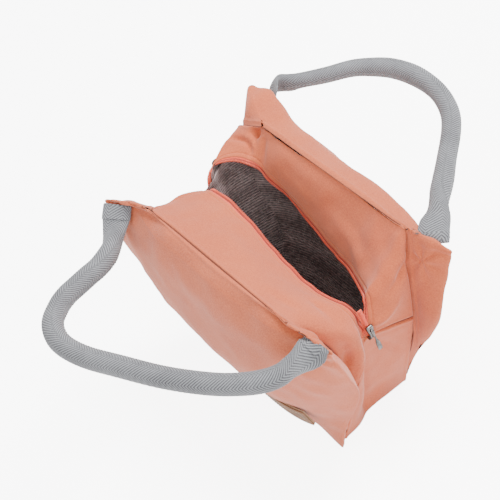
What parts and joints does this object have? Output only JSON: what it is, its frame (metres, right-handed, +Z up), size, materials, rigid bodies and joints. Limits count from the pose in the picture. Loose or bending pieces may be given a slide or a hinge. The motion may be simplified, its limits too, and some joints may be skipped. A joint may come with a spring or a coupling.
{
  "type": "lunch bag",
  "caption": "Soft insulated lunch bag with a zip top drawn open, a foam and foil-look lining, winged top corners and a rope handle on each side.",
  "frame": {"origin": "middle of the base, on the surface that the bag stands on", "axes": "+X along the zip towards the end where the slider rests, +Y towards the back, away from the label, +Z up"},
  "size_m": [0.3046, 0.478, 0.2146],
  "materials": {
    "fabric": "salmon plain-weave polyester, matt",
    "foam": "white closed-cell foam sheet",
    "lining": "dark brown-grey quilted lining with a slight shine",
    "zip": "coral coil zip and its woven tape",
    "webbing": "grey herringbone webbing",
    "rope": "undyed cotton rope",
    "metal": "bright nickel plate",
    "leather": "brown leather with a pale cut edge",
    "board": "black stiffening board"
  },
  "bodies": {
    "shell": {"back_handle_left_end": "webbing", "back_handle_right_end": "webbing", "back_panel_foam": "foam", "back_panel_lining": "lining", "back_panel_outer": "fabric", "base_board": "board", "base_foam": "foam", "base_lining": "lining", "base_panel_outer": "fabric", "front_handle_left_end": "webbing", "front_handle_right_end": "webbing", "front_panel_foam": "foam", "front_panel_lining": "lining", "front_panel_outer": "fabric", "leather_label": "leather", "left_end_fold": "fabric", "left_end_fold_lining": "lining", "left_end_zip": "zip", "left_gusset_foam": "foam", "left_gusset_lining": "lining", "left_gusset_outer": "fabric", "right_end_fold": "fabric", "right_end_fold_lining": "lining", "right_end_zip": "zip", "right_gusset_foam": "foam", "right_gusset_lining": "lining", "right_gusset_outer": "fabric", "zip_bottom_stop": "metal"},
    "front_flap": {"front_top_panel": "fabric", "front_top_panel_lining": "lining", "front_zip_tape": "zip", "front_zip_teeth": "zip"},
    "back_flap": {"back_top_panel": "fabric", "back_top_panel_lining": "lining", "back_zip_tape": "zip", "back_zip_teeth": "zip"},
    "slider": {"zip_slider": "metal"},
    "pull": {"zip_pull_tab": "metal"},
    "front_handle": {"front_handle_webbing": "webbing", "front_handle_rope": "rope"},
    "back_handle": {"back_handle_webbing": "webbing", "back_handle_rope": "rope"}
  },
  "joints": [
    {"name": "front_flap_fold", "type": "hinge", "parent": "shell", "child": "front_flap", "pos_m": [0, -0.075, 0.215], "axis": [1, 0, 0], "range_deg": [-20, 15]},
    {"name": "back_flap_fold", "type": "hinge", "parent": "shell", "child": "back_flap", "pos_m": [0, 0.075, 0.215], "axis": [-1, 0, 0], "range_deg": [-10, 48]},
    {"name": "slider_travel", "type": "slide", "parent": "shell", "child": "slider", "axis": [-0.3081, 0, 0.9513], "range_m": [0, 0.014]},
    {"name": "pull_tab_swing", "type": "hinge", "parent": "slider", "child": "pull", "pos_m": [0.12745, 0, 0.15034], "axis": [0, 1, 0], "range_deg": [-140, 0]},
    {"name": "front_handle_swing", "type": "hinge", "parent": "shell", "child": "front_handle", "pos_m": [-0.134, -0.101, 0.19], "axis": [-0.999, -0.0451, 0], "range_deg": [-70, 85]},
    {"name": "back_handle_swing", "type": "hinge", "parent": "shell", "child": "back_handle", "pos_m": [-0.134, 0.107, 0.19], "axis": [0.9993, -0.0381, 0], "range_deg": [-70, 60]}
  ]
}
